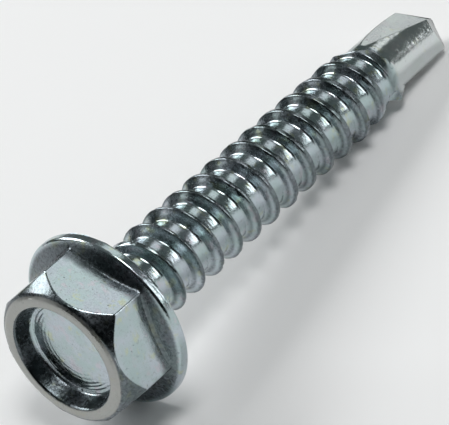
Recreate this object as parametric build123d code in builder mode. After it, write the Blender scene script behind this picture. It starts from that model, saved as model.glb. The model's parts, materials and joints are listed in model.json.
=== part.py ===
from build123d import *
import math
import os

# A self-drilling screw, ST4.2 x 25, with a flanged hex head that has a shallow
# round indent in its top. It is one piece of steel: the head is upset, the thread
# is rolled and the drill point is pinched between two dies.
#
# The screw is built about the Z axis with its head up and the bearing face of the
# flange at z = 0, so depths down the shank are negative. At the end it is laid on
# its side, as it comes to rest. All sizes are in millimetres.

# Head
across_flats = 6.9
corner_radius = 0.12  # of the hexagon's corners
head_height = 3.55  # from the bearing face to the top
head_offset = 0.25  # how far the upset head sits off the shank's axis
bevel_angle = 60.0  # of the bevel round the top, from the horizontal
bevel_inset = 0.12  # from the flats to the round top that the bevel leaves
top_edge_radius = 0.35

# Flange
flange_overhang = 0.95  # from the flats to the rim
flange_edge = 0.5  # thickness at the rim
flange_slope = 20.0  # of its upper side, in degrees
flange_edge_radius = 0.16
flange_fillet = 0.2  # where the flats meet the flange
bearing_inner_d = 5.2  # inner diameter of the flat bearing ring
dish_depth = 0.2  # how far the underside is dished inside that ring

# Indent in the top of the head
indent_d = 5.44
indent_floor_d = 4.9
indent_depth = 0.9
indent_edge_chamfer = 0.07
indent_floor_radius = 0.2

# Thread
pitch = 1.4
thread_d = 4.2  # over the crests, next to the head
thread_end_d = 3.83  # over the crests, next to the point
root_d = 3.1
crest_width = 0.1
flank_angle = 30.0  # of each side, from square to the axis
thread_top = 0.35  # depth at which the thread runs out under the head
thread_bottom = 20.6  # depth at which it starts above the point
run_in = 4.3  # length over which it grows to its full height
run_in_offset = 0.1  # how far that stretch sits off the shank's axis
toe_length = 0.9  # of the steeper first part of it
toe_height = 0.11  # of the crest above the core, at the end of that part
run_out = 2.5  # length over which it fades under the head
knee_rise = 0.04  # height at which a flank turns outwards into the core
foot_slope = 18.0  # of the ridge's foot, outside that turn
foot_gap = 0.11  # of bare core between the feet of two turns
sink_depth = 0.38  # of the foot's underside below the core's surface

# Drill point
length = 24.8  # from the bearing face to the tip
point_d = 3.0
point_offset = 0.12  # how far the pinched point sits off the shank's axis
blend_depth = 19.1  # from which the core leans towards the point
flute_length = 4.8
flute_angle = 134.0  # between the two walls of a flute
flute_turn = -32.0  # direction that a flute faces, from the +X axis
web_thickness = 0.14  # between the two flutes at the tip
flute_end_floor = 1.42  # from the axis to the flute's floor at its upper end
chisel_turn = -15.0  # direction of the chisel edge, from the +X axis
chisel_angle = 90.0  # between the two end faces of the point

# Flats that the dies leave on the first turn, beside the two flutes: an upright one, and
# one that slants inwards towards the tip
flat_turn = 181.0  # direction that the upright one faces, from the +X axis
flat_reach = 1.27  # of the upright one, from the axis
flat_depth = 19.2  # of the upright one's upper end
slant_turn = 345.0  # direction that the slanting one faces, from the +X axis
slant_reach = 1.84  # of the slanting one's upper end, from the axis
slant_depth = 18.9  # of the slanting one's upper end
slant_angle = 30.0

# Fin of metal squeezed out beside the flat. It rises out of the thread's first turn and
# flares outwards to a free end.
fin_turn = 200.0  # direction of the free end, from the +X axis
fin_spread = 30.0  # angle over which it rises
fin_depth = 19.2  # of the free end's upper corner
fin_length = 1.45  # of the free end, along the screw
fin_reach = 1.86  # of the free end, from the axis
fin_root_depth = 19.55
fin_root_length = 0.3
fin_peak = 0.36  # share of the length from the upper corner to the outer edge
fin_edge = 0.12  # width of the outer edge

# Rest
down_turn = 141.0  # the side of the screw that faces the floor, from the +X axis

flange_r = across_flats / 2 + flange_overhang
corner_r = across_flats / 2 / math.cos(math.radians(30))
root_r = root_d / 2
crest_r = thread_d / 2
end_crest_r = thread_end_d / 2
point_r = point_d / 2
head_plane = Plane((-head_offset, 0, dish_depth))
head_side = Plane((-head_offset, 0, 0), x_dir=(1, 0, 0), z_dir=(0, -1, 0))
head_axis = Axis((-head_offset, 0, 0), (0, 0, 1))


def turned(angle, origin=(0, 0, 0)):
    """Upright plane through the shank's axis, or beside it, that faces across `angle`."""
    across = Vector(1, 0, 0).rotate(Axis.Z, angle)
    return Plane(origin, x_dir=across, z_dir=across.cross(Vector(0, 0, 1)))


# ---------------------------------------------------------------- head
with BuildPart() as head:
    # Hexagon, cut back at the top by a steep bevel
    with BuildSketch(head_plane):
        RegularPolygon(across_flats / 2, 6, major_radius=False, rotation=30)
        fillet(vertices(), corner_radius)
    extrude(amount=head_height - dish_depth)
    top_r = across_flats / 2 - bevel_inset
    bevel_height = (corner_r - top_r) * math.tan(math.radians(bevel_angle))
    with BuildSketch(head_side):
        with BuildLine():
            Polyline(
                (0, 0),
                (corner_r, 0),
                (corner_r, head_height - bevel_height),
                (top_r, head_height),
                (0, head_height),
                close=True,
            )
        make_face()
    revolve(axis=head_axis, mode=Mode.INTERSECT)
    fillet(head.faces().sort_by(Axis.Z)[-1].edges(), top_edge_radius)

    # Flange: a shallow cone above, a flat ring below with a dish inside it
    cone_rise = flange_r * math.tan(math.radians(flange_slope))
    with BuildSketch(head_side) as flange_profile:
        with BuildLine():
            Polyline(
                (0, dish_depth),
                (root_r, dish_depth),
                (bearing_inner_d / 2, 0),
                (flange_r, 0),
                (flange_r, flange_edge),
                (0, flange_edge + cone_rise),
                close=True,
            )
        make_face()
        rim_corners = flange_profile.vertices().sort_by(Axis.X)[-2:]
        fillet(rim_corners, flange_edge_radius)
    revolve(axis=head_axis)
    fillet(head.edges(Select.NEW), flange_fillet)

    # Indent
    with BuildSketch(head_side) as indent_profile:
        with BuildLine():
            Polyline(
                (0, head_height),
                (indent_d / 2, head_height),
                (indent_floor_d / 2, head_height - indent_depth),
                (0, head_height - indent_depth),
                close=True,
            )
        make_face()
        fillet(indent_profile.vertices().group_by(Axis.X)[1], indent_floor_radius)
    revolve(axis=head_axis, mode=Mode.SUBTRACT)
    rims = head.edges().filter_by(GeomType.CIRCLE).group_by(Axis.Z)[-1]
    chamfer(rims.sort_by(SortBy.RADIUS)[0], indent_edge_chamfer)


# ---------------------------------------------------------------- thread
ridge_height = crest_r - root_r
half_crest = crest_width / 2
half_knee = half_crest + (ridge_height - knee_rise) * math.tan(math.radians(flank_angle))
half_foot = (pitch - foot_gap) / 2
foot_drop = (half_foot - half_knee) * math.tan(math.radians(foot_slope)) - knee_rise
full_depth = thread_bottom - run_in  # below this the crest falls away to the core
faded_r = root_r - sink_depth / 2  # where the crest has sunk into the core at both ends

# The space that the crest may reach
with BuildPart() as envelope:
    # It tapers a little down the shank and closes under the head
    with BuildSketch(Plane.XZ):
        with BuildLine():
            Polyline(
                (0, -thread_top),
                (faded_r, -thread_top),
                (crest_r, -thread_top - run_out),
                (end_crest_r, -thread_bottom),
                (0, -thread_bottom),
                close=True,
            )
        make_face()
    revolve()

    # Towards the point it closes a little off the axis
    clear_r = crest_r + 2 * run_in_offset
    run_in_axis = Axis((run_in_offset, 0, 0), (0, 0, 1))
    with BuildSketch(Plane((run_in_offset, 0, 0), x_dir=(1, 0, 0), z_dir=(0, -1, 0))):
        with BuildLine():
            Polyline(
                (0, 0),
                (clear_r, 0),
                (clear_r, -full_depth),
                (root_r + toe_height, toe_length - thread_bottom),
                (faded_r, -thread_bottom),
                (0, -thread_bottom),
                close=True,
            )
        make_face()
    revolve(axis=run_in_axis, mode=Mode.INTERSECT)

with BuildPart() as ridge:
    with BuildLine() as ridge_path:
        sweep_length = thread_bottom - thread_top + 1.5 * pitch
        Helix(pitch, sweep_length, root_r, center=(0, 0, -thread_bottom - pitch))
    start = Plane(ridge_path.line @ 0, x_dir=(1, 0, 0), z_dir=ridge_path.line % 0)
    with BuildSketch(start):
        with BuildLine():
            Polyline(
                (-sink_depth, -half_foot),
                (-foot_drop, -half_foot),
                (knee_rise, -half_knee),
                (ridge_height, -half_crest),
                (ridge_height, half_crest),
                (knee_rise, half_knee),
                (-foot_drop, half_foot),
                (-sink_depth, half_foot),
                close=True,
            )
        make_face()
    sweep(path=ridge_path.line, is_frenet=True)
    add(envelope.part, mode=Mode.INTERSECT)

    # Slanting flat
    with BuildSketch(turned(slant_turn)):
        with Locations((slant_reach, -slant_depth)):
            Rectangle(thread_d, thread_d, rotation=-slant_angle, align=(Align.MIN, Align.MAX))
    extrude(amount=thread_d, both=True, mode=Mode.SUBTRACT)


# ---------------------------------------------------------------- drill point
point_top = flute_length - length  # height of the flutes' upper ends

with BuildPart() as point:
    with BuildSketch(Plane((point_offset, 0, -length))):
        Circle(point_r)
    extrude(amount=flute_length)

    # Two end faces that meet in the chisel edge
    with BuildSketch(turned(chisel_turn + 90, (point_offset, 0, -length))):
        with BuildLine():
            half_wide = 2 * point_r
            face_rise = half_wide / math.tan(math.radians(chisel_angle / 2))
            Polyline(
                (0, 0),
                (half_wide, face_rise),
                (half_wide, 2 * length),
                (-half_wide, 2 * length),
                (-half_wide, face_rise),
                close=True,
            )
        make_face()
    extrude(amount=thread_d, both=True, mode=Mode.INTERSECT)

with BuildPart() as flutes:
    for turn in (flute_turn, flute_turn + 180):
        outward = Vector(1, 0, 0).rotate(Axis.Z, turn)
        tip_floor = Vector(point_offset, 0, -length) + outward * (web_thickness / 2)
        end_floor = Vector(point_offset, 0, point_top) + outward * flute_end_floor
        with BuildSketch(Plane(end_floor, x_dir=outward, z_dir=tip_floor - end_floor)):
            with BuildLine():
                wall_run = 2 * point_r * math.tan(math.radians(flute_angle / 2))
                Polyline((0, 0), (2 * point_r, wall_run), (2 * point_r, -wall_run), close=True)
            make_face()
        extrude(amount=2 * flute_length)

with BuildPart() as fin:
    for share in (0, 0.5, 1):
        top = (fin_depth - fin_root_depth) * share - fin_depth
        long = fin_length + (fin_root_length - fin_length) * share
        peak = top - fin_peak * long
        foot_r = root_r - fin_edge * (1 + share)
        peak_r = root_r + (fin_reach - root_r) * (1 - share) ** 2
        with BuildSketch(turned(fin_turn + fin_spread * share)):
            with BuildLine():
                Polyline(
                    (root_r / 2, top),
                    (foot_r, top),
                    (peak_r, peak),
                    (peak_r, peak - fin_edge),
                    (foot_r, top - long),
                    (root_r / 2, top - long),
                    close=True,
                )
            make_face()
    loft()


# ---------------------------------------------------------------- whole screw
with BuildPart() as screw:
    add(head)

    # Core, which blends into the point
    core_bottom = -blend_depth
    with BuildSketch(Plane.XY.offset(dish_depth)):
        Circle(root_r)
    extrude(amount=core_bottom - dish_depth)
    with BuildSketch(Plane.XY.offset(core_bottom)):
        Circle(root_r)
    with BuildSketch(Plane((point_offset, 0, point_top))):
        Circle(point_r)
    loft()
    add(ridge)

    # Upright flat
    with BuildSketch(turned(flat_turn)):
        with Locations((flat_reach, -flat_depth)):
            Rectangle(thread_d, -point_top - flat_depth, align=(Align.MIN, Align.MAX))
    extrude(amount=thread_d, both=True, mode=Mode.SUBTRACT)

    add(point)
    add(flutes, mode=Mode.SUBTRACT)
    add(fin)

# Laid on its side, it rests on the flange's rim and, farther down, on the spot of the shank
# that reaches the floor first: a crest near the lower end of the thread
down = Vector(1, 0, 0).rotate(Axis.Z, down_turn)
flange_reach = flange_r - head_offset * math.cos(math.radians(down_turn))
surface, _ = screw.part.tessellate(0.01)
shank = [spot for spot in surface if spot.Z < -run_in]
slopes = [(flange_reach - spot.dot(down)) / (flange_edge_radius - spot.Z) for spot in shank]
tilt = math.degrees(math.atan(min(slopes)))

headward = Vector(-1, 0, 0).rotate(Axis.Y, tilt)
downward = Vector(0, 0, -1).rotate(Axis.Y, tilt)
across = downward.rotate(Axis((0, 0, 0), headward), -down_turn)
lying = Plane((0, 0, 0), x_dir=across, z_dir=headward)
screw.part.locate(lying.location)
box = screw.part.bounding_box()
screw.part.locate(Location((-box.center().X, -box.center().Y, -box.min.Z)) * lying.location)

os.makedirs("parts", exist_ok=True)
screw.part.label = "screw"
export_step(screw.part, "parts/screw.step")
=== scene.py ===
import json
import math
import bmesh
import bpy
import numpy as np
from mathutils import Matrix, Vector, noise


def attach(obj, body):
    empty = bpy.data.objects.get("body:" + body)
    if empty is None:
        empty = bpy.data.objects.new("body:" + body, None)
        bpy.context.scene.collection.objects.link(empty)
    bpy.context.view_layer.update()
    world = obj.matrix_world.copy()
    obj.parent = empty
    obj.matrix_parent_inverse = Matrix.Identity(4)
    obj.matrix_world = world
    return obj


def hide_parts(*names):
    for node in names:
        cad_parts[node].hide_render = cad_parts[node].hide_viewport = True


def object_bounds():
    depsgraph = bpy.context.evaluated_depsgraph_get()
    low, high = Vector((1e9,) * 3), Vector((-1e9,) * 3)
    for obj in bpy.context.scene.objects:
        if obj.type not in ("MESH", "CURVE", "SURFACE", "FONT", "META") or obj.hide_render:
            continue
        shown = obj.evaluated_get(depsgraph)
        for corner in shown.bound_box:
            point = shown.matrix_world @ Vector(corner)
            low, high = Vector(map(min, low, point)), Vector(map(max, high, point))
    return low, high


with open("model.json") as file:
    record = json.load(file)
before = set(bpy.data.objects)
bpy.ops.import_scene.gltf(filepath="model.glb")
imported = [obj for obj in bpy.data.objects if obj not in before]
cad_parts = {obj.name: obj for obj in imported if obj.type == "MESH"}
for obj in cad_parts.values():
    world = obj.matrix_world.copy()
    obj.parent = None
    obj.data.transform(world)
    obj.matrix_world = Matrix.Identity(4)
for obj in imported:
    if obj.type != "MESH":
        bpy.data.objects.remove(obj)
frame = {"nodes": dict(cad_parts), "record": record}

cad_low, cad_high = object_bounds()
cad_node = frame["nodes"]["screw"]
mounts = {mount["name"]: mount for mount in frame["record"]["mounts"]}

MM = 0.001

# ---------------------------------------------------------------- sizes of the screw, mm
# Heights are measured from the bearing face: up to the head, and negative down the shank
THREAD_MIDDLE = 10.475  # down to the mount on the thread
HEAD_OFFSET = 0.25  # from the shank's axis to the head's, towards -X
TOP_RING_R = 3.42  # of the flat ring round the recess
RECESS_R = 2.72
RECESS_FLOOR = 2.65  # height
THREAD_R = 2.1  # over the crest, next to the head
THREAD_TAPER = 0.185  # by which the crest comes in down to the lower end
THREAD_LENGTH = 20.6
KNEE_R = 1.7  # where a flank meets the core
POINT_START = -19.9  # height at which the drill point begins
POINT_END = -23.2  # height below which its end is cut

# ---------------------------------------------------------------- mesh, mm
HEAD_ROUNDING = 0.06
SHANK_ROUNDING = 0.042
SHARP = math.radians(24)  # edges sharper than this are rounded
CREASE = math.radians(35)  # shading runs over edges flatter than this
SHORTEST_ROUNDED = 0.06
FINE_EDGE = 0.09  # longest edge in the recess, which has rings
PLAIN_EDGE = 0.205  # longest edge elsewhere
SPLIT_ROUNDS = 3
RECESS_RINGS = ((1.93, 0.022), (2.09, 0.028), (2.26, 0.022))  # radius and depth
RING_WIDTH = 0.05

# ---------------------------------------------------------------- camera
VIEW_AZIMUTH = -128.405  # degrees
VIEW_ELEVATION = 37.674
VIEW_ROLL = -23.204
VIEW_DISTANCE = 207.826 * MM
VIEW_AIM = Vector((-1.952, 0.191, 2.996)) * MM
SENSOR = 36.0
LENS = 365.25

# ---------------------------------------------------------------- light
FLOOR_SIZE = 3.0  # metres
FLOOR_COLOR = (0.9, 0.9, 0.9, 1)
LAMP_DISTANCE = 0.4  # metres
LAMPS = (
    # name, azimuth, elevation, width and height in degrees, radiance
    ("strip_right", -62, 23, 19, 30, 3.2),
    ("fill_front", -86, 74, 20, 20, 10.0),
    ("window_back", 94, 39, 34, 26, 7.2),
    ("strip_left", 140, 22, 8, 32, 0.9),
    ("card_top", 10, 49, 22, 20, 1.0),
    ("card_low", 20, 16, 18, 16, 0.7),
)
ROOM_COLOR = (0.10, 0.113, 0.113)
ROOM_PATCHES = (
    # azimuth, elevation, full within and gone beyond this many degrees, colour
    (25, 26, 28, 42, (0.11, 0.125, 0.12)),
    (68, 52, 10, 22, (0.13, 0.145, 0.14)),
    (112, 5, 16, 26, (0.05, 0.055, 0.06)),
    (172, 12, 20, 30, (0.02, 0.022, 0.025)),
    (-135, 22, 40, 54, (0.006, 0.007, 0.008)),
)

# ---------------------------------------------------------------- plating colours and painted shade
TEAL = (0.42, 0.52, 0.525)
BLUE_WHITE = (0.50, 0.56, 0.61)
YELLOW = (0.52, 0.56, 0.36)
PINK = (0.56, 0.51, 0.56)
MOTTLE = (0.30, 0.34, 0.35)
POINT_STEEL = (0.76, 0.78, 0.76)
LIP_DARK = (0.30, 0.295, 0.28)
LIP_PALE = (0.42, 0.415, 0.385)
# Near-black painted shade and painted dark reflection laid over chosen zones, not the plating's own
# colour
PAINTED_SHADE = (0.05, 0.06, 0.066)
SPECK = (0.13, 0.15, 0.16)
RELIEF_DEPTH = 0.0045 * MM


# ---------------------------------------------------------------- screw frame
def screw_frame():
    """Origin, in metres, and axes of the screw: Z to the head, X away from the head's offset."""
    thread = Vector(mounts["thread"]["pos_m"])
    top = Vector(mounts["hex_drive"]["pos_m"])
    up = -Vector(mounts["thread"]["axis"]).normalized()
    offset = (top - thread) - (top - thread).dot(up) * up
    side = -offset.normalized()
    origin = thread + up * THREAD_MIDDLE * MM
    return np.array(origin), np.array([side, up.cross(side), up])


ORIGIN, AXES = screw_frame()


def to_screw(points):
    """World metres to screw millimetres."""
    return (points - ORIGIN) @ AXES.T / MM


def to_world(points):
    return points * MM @ AXES + ORIGIN


# ---------------------------------------------------------------- fine mesh
def sharp_edges(shape, on_head):
    """Edges to round, on the head or on the shank."""
    return [
        edge
        for edge in shape.edges
        if len(edge.link_faces) == 2
        and abs(edge.calc_face_angle()) > SHARP
        and edge.calc_length() > SHORTEST_ROUNDED
        and (edge.verts[0].co.z > 0.2) == on_head
    ]


def rounded_edges(mesh):
    """The CAD mesh with its sharp edges rounded, as vertices in screw mm and triangles."""
    shape = bmesh.new()
    shape.from_mesh(mesh)
    bmesh.ops.remove_doubles(shape, verts=shape.verts, dist=2e-7)
    points = to_screw(np.array([vert.co for vert in shape.verts]))
    for vert, point in zip(shape.verts, points):
        vert.co = point
    shape.normal_update()
    for on_head, offset in ((True, HEAD_ROUNDING), (False, SHANK_ROUNDING)):
        bmesh.ops.bevel(
            shape, geom=sharp_edges(shape, on_head), offset=offset, offset_type="OFFSET",
            affect="EDGES", segments=3, profile=0.5, clamp_overlap=False,
        )
        shape.normal_update()
    bmesh.ops.triangulate(shape, faces=shape.faces[:])
    bmesh.ops.remove_doubles(shape, verts=shape.verts, dist=1e-4)
    bmesh.ops.dissolve_degenerate(shape, dist=1e-4, edges=shape.edges)
    bmesh.ops.triangulate(shape, faces=shape.faces[:])
    verts = np.array([vert.co for vert in shape.verts])
    shape.verts.index_update()
    tris = np.array([[vert.index for vert in face.verts] for face in shape.faces])
    shape.free()
    return verts, tris


def dots(a, b):
    """Dot product of each row, as a column."""
    return np.einsum("ij,ij->i", a, b)[:, None]


def unit(vectors):
    length = np.linalg.norm(vectors, axis=-1, keepdims=True)
    return vectors / np.maximum(length, 1e-12)


def face_normals(verts, tris):
    """Normals scaled by twice the area."""
    a, b, c = verts[tris[:, 0]], verts[tris[:, 1]], verts[tris[:, 2]]
    return np.cross(b - a, c - a)


def corner_normals(verts, tris):
    """For each corner, the mean normal of the faces round it that lie within the crease angle."""
    scaled = face_normals(verts, tris)
    flat = unit(scaled)
    corner_vert = tris.ravel()
    corner_face = np.repeat(np.arange(len(tris)), 3)
    order = np.argsort(corner_vert, kind="stable")
    sorted_vert, sorted_face = corner_vert[order], corner_face[order]
    first = np.searchsorted(sorted_vert, np.arange(len(verts)))
    count = np.bincount(corner_vert, minlength=len(verts))
    total = np.zeros((len(corner_vert), 3))
    for step in range(count.max()):
        has = count[corner_vert] > step
        other = sorted_face[first[corner_vert[has]] + step]
        near = dots(flat[other], flat[corner_face[has]]) > math.cos(CREASE)
        total[has] += scaled[other] * near
    return unit(total).reshape(-1, 3, 3)


def mean_normals(verts, tris, corners):
    total = np.zeros_like(verts)
    np.add.at(total, tris.ravel(), corners.reshape(-1, 3))
    return unit(total)


def split_faces(tris, normals, mids, mid_normals):
    """Triangles and corner normals after splitting; mids is -1 where an edge stays whole."""
    out_tris, out_normals = [], []
    cut = (mids >= 0) @ np.array([1, 2, 4])

    def emit(pattern, *triangles):
        """Corners are 0-2 for a face's own corners and 3-5 for the midpoint after corner 0-2."""
        rows = np.where(cut == pattern)[0]
        for corners in triangles:
            own = [tris[rows, c] if c < 3 else mids[rows, c - 3] for c in corners]
            lit = [normals[rows, c] if c < 3 else mid_normals[rows, c - 3] for c in corners]
            out_tris.append(np.stack(own, 1))
            out_normals.append(np.stack(lit, 1))

    emit(0, (0, 1, 2))
    for p in range(3):
        q, r = (p + 1) % 3, (p + 2) % 3
        emit(1 << p, (p, p + 3, r), (p + 3, q, r))
        emit((1 << p) + (1 << q), (p + 3, q, q + 3), (p, p + 3, r), (p + 3, q + 3, r))
    emit(7, (0, 3, 5), (3, 1, 4), (5, 4, 2), (3, 4, 5))
    return np.vstack(out_tris), np.vstack(out_normals)


def split_long(verts, tris, normals):
    """One round of splitting of edges over their target length, with curved midpoints."""
    starts, ends = tris, np.roll(tris, -1, axis=1)
    low, high = np.minimum(starts, ends), np.maximum(starts, ends)
    keys = (low.astype(np.int64) * len(verts) + high).ravel()
    edges, edge_of = np.unique(keys, return_inverse=True)
    a, b = (edges // len(verts)).astype(int), (edges % len(verts)).astype(int)
    middle = (verts[a] + verts[b]) / 2
    long = np.linalg.norm(verts[a] - verts[b], axis=1) > target_length(middle)

    run = verts[ends.ravel()] - verts[starts.ravel()]
    normal_a, normal_b = normals.reshape(-1, 3), np.roll(normals, -1, axis=1).reshape(-1, 3)
    bulge = (dots(run, normal_b) * normal_b - dots(run, normal_a) * normal_a) / 8
    lift = np.zeros_like(middle)
    np.add.at(lift, edge_of, bulge)
    lift /= np.bincount(edge_of)[:, None]

    both = normal_a + normal_b
    mid_normals = unit(both - dots(run, both) / np.maximum(dots(run, run), 1e-12) * run)
    new_index = np.full(len(edges), -1)
    new_index[long] = len(verts) + np.arange(long.sum())
    mids = new_index[edge_of].reshape(-1, 3)
    verts = np.vstack([verts, (middle + lift)[long]])
    return verts, *split_faces(tris, normals, mids, mid_normals.reshape(-1, 3, 3))


# ---------------------------------------------------------------- where things are
def fade(values, start, end):
    """0 at start, 1 at end, straight between them and flat outside."""
    return np.clip((values - start) / (end - start), 0, 1)


def head_reach(points):
    """Distance from the head's axis."""
    return np.hypot(points[:, 0] + HEAD_OFFSET, points[:, 1])


def below_crest(points):
    """How far inside the thread's crest each point lies; the thread tapers."""
    crest = THREAD_R - THREAD_TAPER * np.clip(-points[:, 2] / THREAD_LENGTH, 0, 1)
    return crest - np.hypot(points[:, 0], points[:, 1])


def target_length(points):
    """How long an edge may be."""
    in_recess = (points[:, 2] > 2.4) & (head_reach(points) < 3.3)
    return np.where(in_recess, FINE_EDGE, PLAIN_EDGE)


def lip_weight(points, normals):
    """1 on the flat ring round the recess."""
    reach, height = head_reach(points), points[:, 2]
    ring = fade(reach, 2.7, 2.78) * fade(reach, TOP_RING_R, 3.32)
    return ring * (height > 3.25) * fade(normals[:, 2], 0.6, 0.8)


def painted_shade_weight(points, normals):
    """Weight of the painted shade and painted dark reflection, zone by zone: recess wall, flange
    top, bevel, thread knees and crests, the point's end.
    """
    reach, height = head_reach(points), points[:, 2]
    radius = np.hypot(points[:, 0], points[:, 1])
    on_thread = (height < -0.1) * (height > -20.4)
    wall = (reach < 2.76) * (height > 2.6) * fade(reach, 2.42, 2.52)
    flange_top = (height > 0.55) * (reach > 3.3) * fade(reach, 4.42, 4.12) * fade(height, 1.3, 1.15)
    bevel = (height > 2.2) * (reach > 3.2)
    bevel = bevel * fade(normals[:, 2], 0.25, 0.35) * fade(normals[:, 2], 0.88, 0.73)
    knee = on_thread * np.clip(1 - np.abs(radius - KNEE_R) / 0.14, 0, 1)
    crest = on_thread * fade(below_crest(points), 0.12, 0.06)
    end = (height < POINT_END) * fade(-normals[:, 2], 0.45, 0.6)
    zones = (
        0.95 * wall, 0.85 * flange_top, 0.88 * bevel, 0.75 * knee, 0.75 * crest, 0.95 * end,
    )
    return np.maximum.reduce(zones)


# ---------------------------------------------------------------- worked surface
def noise_at(points, scale):
    """Smooth noise, about -1 to 1."""
    return np.array([
        noise.fractal(Vector(point), 1.0, 2.0, 2, noise_basis="PERLIN_ORIGINAL")
        for point in points * scale
    ])


def crest_nicks(points):
    crest = fade(below_crest(points), 0.15, 0.05) * np.clip(-points[:, 2] / 0.5, 0, 1)
    return 0.05 * crest * np.clip(noise_at(points + 40.0, 1.9) - 0.12, 0, 1)


def floor_rings(points):
    reach, height = head_reach(points), points[:, 2]
    in_floor = (height < RECESS_FLOOR + 0.12) & (height > 2.3) & (reach < 2.5)
    return in_floor * sum(
        depth * np.exp(-(((reach - radius) / RING_WIDTH) ** 2)) for radius, depth in RECESS_RINGS
    )


def lip_crown(points, normals):
    """The ring round the recess falls away towards its outer edge."""
    reach, height = head_reach(points), points[:, 2]
    drop = 0.3 * np.clip(reach - RECESS_R - 0.12, 0, 0.5) ** 2
    on_lip = fade(height, 3.3, 3.5) * (reach > RECESS_R)
    return on_lip * drop * np.clip(normals[:, 2], 0, 1)


def worked_in(points, normals):
    """How far each vertex moves inwards along its normal, in mm."""
    return crest_nicks(points) + floor_rings(points) + lip_crown(points, normals)


# ---------------------------------------------------------------- zinc
class Nodes:
    """Short ways to add shader nodes."""

    def __init__(self, tree):
        self.tree = tree

    def add(self, kind, **settings):
        node = self.tree.nodes.new(kind)
        for name, value in settings.items():
            setattr(node, name, value)
        return node

    def join(self, output, socket):
        self.tree.links.new(output, socket)

    def attribute(self, name, output="Fac"):
        return self.add("ShaderNodeAttribute", attribute_name=name).outputs[output]

    def stretched(self, vector, scale):
        node = self.add("ShaderNodeVectorMath", operation="MULTIPLY")
        node.inputs[1].default_value = scale
        self.join(vector, node.inputs[0])
        return node.outputs[0]

    def noise(self, vector, scale, detail, roughness=0.55):
        node = self.add("ShaderNodeTexNoise")
        node.inputs["Scale"].default_value = scale
        node.inputs["Detail"].default_value = detail
        node.inputs["Roughness"].default_value = roughness
        self.join(vector, node.inputs["Vector"])
        return node.outputs["Fac"]

    def ramp(self, value, low, high, to_low=0.0, to_high=1.0):
        node = self.add("ShaderNodeMapRange", interpolation_type="SMOOTHSTEP")
        node.inputs["From Min"].default_value = low
        node.inputs["From Max"].default_value = high
        node.inputs["To Min"].default_value = to_low
        node.inputs["To Max"].default_value = to_high
        self.join(value, node.inputs["Value"])
        return node.outputs["Result"]

    def math(self, operation, a, b):
        node = self.add("ShaderNodeMath", operation=operation)
        for socket, value in zip(node.inputs, (a, b)):
            if isinstance(value, (int, float)):
                socket.default_value = value
            else:
                self.join(value, socket)
        return node.outputs[0]

    def times(self, a, b):
        return self.math("MULTIPLY", a, b)

    def plus(self, first, *others):
        for other in others:
            first = self.math("ADD", first, other)
        return first

    def blend(self, factor, a, b):
        node = self.add("ShaderNodeMix", data_type="RGBA")
        self.join(factor, node.inputs["Factor"])
        for socket, value in zip((node.inputs[6], node.inputs[7]), (a, b)):
            if isinstance(value, tuple):
                socket.default_value = (*value, 1)
            else:
                self.join(value, socket)
        return node.outputs[2]


def plating_color(n, clouds, patches, fine, specks):
    """Faint plating colours, mottling, bright point, beige lip, painted shade and painted dark
    reflection in zones, and specks.
    """
    lip_color = n.blend(fine, LIP_DARK, LIP_PALE)
    painted_shade = n.times(n.attribute("painted_shade"), n.ramp(fine, 0.35, 0.65, 1.0, 0.8))
    color = n.blend(n.ramp(clouds, 0.38, 0.62), TEAL, BLUE_WHITE)
    color = n.blend(n.ramp(patches, 0.58, 0.70, 0, 0.6), color, YELLOW)
    color = n.blend(n.ramp(patches, 0.42, 0.32, 0, 0.5), color, PINK)
    color = n.blend(n.ramp(fine, 0.46, 0.32, 0, 0.6), color, MOTTLE)
    color = n.blend(n.times(n.attribute("ground"), 0.6), color, POINT_STEEL)
    color = n.blend(n.times(n.attribute("lip"), 0.85), color, lip_color)
    # painted shade and painted dark reflection: near-black over the weighted zones
    color = n.blend(painted_shade, color, PAINTED_SHADE)
    return n.blend(n.times(specks, 0.7), color, SPECK)


def plating_roughness(n, clouds, fine):
    """Cloudy gloss, rougher on the lip and a little in the zones of painted shade and painted dark
    reflection.
    """
    rough_zones = n.math("MAXIMUM", n.attribute("lip"), n.times(n.attribute("painted_shade"), 0.5))
    return n.plus(
        n.ramp(fine, 0.3, 0.7, 0.10, 0.20),
        n.ramp(clouds, 0.35, 0.65, 0.0, 0.08),
        n.times(rough_zones, 0.14),
    )


def turning_lines(n, reach):
    """Uneven rings round the head's axis."""
    wave = n.add("ShaderNodeTexWave", wave_type="BANDS", bands_direction="X")
    wave.inputs["Scale"].default_value = 1.5
    wave.inputs["Distortion"].default_value = 1.2
    wave.inputs["Detail"].default_value = 3.0
    place = n.add("ShaderNodeCombineXYZ")
    n.join(reach, place.inputs["X"])
    n.join(place.outputs[0], wave.inputs["Vector"])
    return wave.outputs["Fac"]


def plating_relief(n, place, patches, fine, specks):
    """Rolling streaks on the shank, turning lines and drawing marks in the recess, pits."""
    reach, recess = n.attribute("head_reach"), n.attribute("recess")
    off_point = n.math("SUBTRACT", 1.0, n.attribute("ground"))
    streaks = n.noise(n.stretched(place, (0.7, 0.7, 9)), 1.3, 4, 0.6)
    axial = n.noise(n.stretched(place, (1, 1, 0.06)), 8, 3, 0.6)
    rim = n.times(recess, n.ramp(reach, 1.5, 1.9))
    wall = n.times(recess, n.ramp(reach, 2.5, 2.7))
    height = n.plus(
        n.times(fine, 1.2),
        n.times(n.times(streaks, off_point), 1.2),
        n.times(patches, 3.0),
        n.times(n.times(turning_lines(n, reach), rim), 0.45),
        n.times(n.times(axial, wall), 3.0),
    )
    return n.math("SUBTRACT", height, n.times(specks, 0.6))


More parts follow.
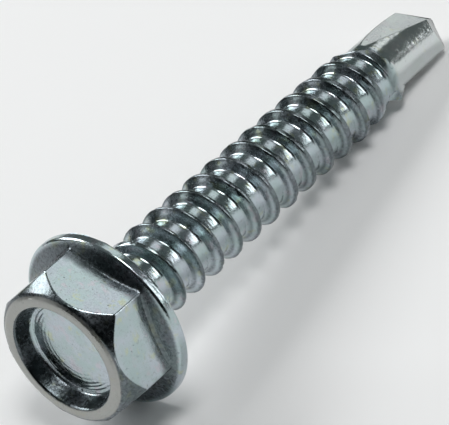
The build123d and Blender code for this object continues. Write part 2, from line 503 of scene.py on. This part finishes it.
def zinc_material():
    mat = bpy.data.materials.new("zinc")
    mat.use_nodes = True
    n = Nodes(mat.node_tree)
    shader = mat.node_tree.nodes["Principled BSDF"]
    shader.inputs["Metallic"].default_value = 1.0
    place = n.attribute("screw_mm", "Vector")
    clouds = n.noise(place, 0.9, 4)
    patches = n.noise(n.stretched(place, (1, 1, 1.6)), 1.7, 3)
    fine = n.noise(place, 7, 5, 0.65)
    specks = n.ramp(n.noise(place, 6.0, 2, 0.5), 0.70, 0.76)
    n.join(plating_color(n, clouds, patches, fine, specks), shader.inputs["Base Color"])
    n.join(plating_roughness(n, clouds, fine), shader.inputs["Roughness"])
    bump = n.add("ShaderNodeBump")
    bump.inputs["Strength"].default_value = 1.0
    bump.inputs["Distance"].default_value = RELIEF_DEPTH
    n.join(plating_relief(n, place, patches, fine, specks), bump.inputs["Height"])
    n.join(bump.outputs[0], shader.inputs["Normal"])
    return mat


# ---------------------------------------------------------------- skin
def store(mesh, name, kind, values):
    attribute = mesh.attributes.new(name, kind, "POINT")
    key = "vector" if kind == "FLOAT_VECTOR" else "value"
    attribute.data.foreach_set(key, np.ascontiguousarray(values, dtype=np.float32).ravel())


def store_zones(mesh, points, normals):
    """What the material needs to know at each vertex."""
    reach, height = head_reach(points), points[:, 2]
    store(mesh, "screw_mm", "FLOAT_VECTOR", points)
    store(mesh, "head_reach", "FLOAT", reach + 0.6 * np.clip(3.3 - height, 0, 1))
    store(mesh, "recess", "FLOAT", (height > 2.5) & (reach < 3.2))
    store(mesh, "ground", "FLOAT", fade(height, POINT_START, POINT_START - 0.3))
    store(mesh, "lip", "FLOAT", lip_weight(points, normals))
    # weight of the painted shade and painted dark reflection
    store(mesh, "painted_shade", "FLOAT", painted_shade_weight(points, normals))


def skin_mesh():
    """The CAD solid's surface, finer, with rounded edges and its worked surface."""
    rest, tris = rounded_edges(cad_node.data)
    normals = corner_normals(rest, tris)
    for _ in range(SPLIT_ROUNDS):
        rest, tris, normals = split_long(rest, tris, normals)
    outward = mean_normals(rest, tris, normals)
    verts = rest - outward * worked_in(rest, outward)[:, None]
    moved = np.linalg.norm(verts - rest, axis=1)[tris] > 0.002
    normals = np.where(moved[..., None], corner_normals(verts, tris), normals)
    mesh = bpy.data.meshes.new("screw_skin")
    inside = np.clip(to_world(verts), np.array(cad_low), np.array(cad_high))
    mesh.from_pydata(inside.tolist(), [], tris.tolist())
    mesh.update()
    mesh.shade_smooth()
    mesh.normals_split_custom_set((normals.reshape(-1, 3) @ AXES).tolist())
    store_zones(mesh, rest, outward)
    return mesh


def make_skin():
    skin = bpy.data.objects.new("screw_skin", skin_mesh())
    bpy.context.scene.collection.objects.link(skin)
    skin.data.materials.append(zinc_material())
    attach(skin, "root")
    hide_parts("screw")


# ---------------------------------------------------------------- studio
def direction(azimuth, elevation):
    """Unit vector at an azimuth from +X and an elevation, in degrees."""
    turn, rise = math.radians(azimuth), math.radians(elevation)
    flat = math.cos(rise)
    return Vector((flat * math.cos(turn), flat * math.sin(turn), math.sin(rise)))


def make_camera():
    data = bpy.data.cameras.new("camera")
    data.sensor_width = SENSOR
    data.lens = LENS
    data.clip_start = 10 * MM
    data.clip_end = 5000 * MM
    camera = bpy.data.objects.new("camera", data)
    bpy.context.scene.collection.objects.link(camera)
    back = direction(VIEW_AZIMUTH, VIEW_ELEVATION)
    upright = back.to_track_quat("Z", "Y").to_matrix()
    rolled = upright @ Matrix.Rotation(math.radians(VIEW_ROLL), 3, "Z")
    camera.matrix_world = Matrix.Translation(VIEW_AIM + back * VIEW_DISTANCE) @ rolled.to_4x4()
    bpy.context.scene.camera = camera


def make_floor():
    """Plain pale floor."""
    bpy.ops.mesh.primitive_plane_add(size=FLOOR_SIZE, location=(0, 0, 0))
    floor = bpy.context.object
    floor.name = "floor"
    mat = bpy.data.materials.new("floor")
    mat.use_nodes = True
    tree = mat.node_tree
    tree.nodes.clear()
    out = tree.nodes.new("ShaderNodeOutputMaterial")
    diffuse = tree.nodes.new("ShaderNodeBsdfDiffuse")
    diffuse.inputs["Color"].default_value = FLOOR_COLOR
    tree.links.new(diffuse.outputs[0], out.inputs[0])
    floor.data.materials.append(mat)


def softbox(name, azimuth, elevation, width, height, radiance):
    """Area lamp that fills width x height degrees, seen from the object."""
    data = bpy.data.lights.new(name, "AREA")
    data.shape = "RECTANGLE"
    data.size = 2 * LAMP_DISTANCE * math.tan(math.radians(width / 2))
    data.size_y = 2 * LAMP_DISTANCE * math.tan(math.radians(height / 2))
    data.energy = radiance * math.pi * data.size * data.size_y
    lamp = bpy.data.objects.new(name, data)
    bpy.context.scene.collection.objects.link(lamp)
    toward = direction(azimuth, elevation)
    facing = toward.to_track_quat("Z", "Y").to_matrix().to_4x4()
    lamp.matrix_world = Matrix.Translation(toward * LAMP_DISTANCE) @ facing


def patch_weight(n, heading, azimuth, elevation, inner, outer):
    """1 within inner degrees of a direction, 0 beyond outer degrees."""
    dot = n.add("ShaderNodeVectorMath", operation="DOT_PRODUCT")
    dot.inputs[1].default_value = direction(azimuth, elevation)
    n.join(heading, dot.inputs[0])
    edge, core = math.cos(math.radians(outer)), math.cos(math.radians(inner))
    return n.ramp(dot.outputs["Value"], edge, core)


def make_world():
    """A dim room with soft patches of other tones."""
    world = bpy.data.worlds.new("studio")
    bpy.context.scene.world = world
    world.use_nodes = True
    world.node_tree.nodes.clear()
    n = Nodes(world.node_tree)
    heading = n.add("ShaderNodeTexCoord").outputs["Generated"]
    color = ROOM_COLOR
    for azimuth, elevation, inner, outer, shade in ROOM_PATCHES:
        weight = patch_weight(n, heading, azimuth, elevation, inner, outer)
        color = n.blend(weight, color, shade)
    background = n.add("ShaderNodeBackground")
    n.join(color, background.inputs["Color"])
    n.join(background.outputs[0], n.add("ShaderNodeOutputWorld").inputs[0])


make_camera()
make_floor()
for lamp in LAMPS:
    softbox(*lamp)
make_world()
make_skin()

bpy.context.scene.view_settings.view_transform = "Standard"
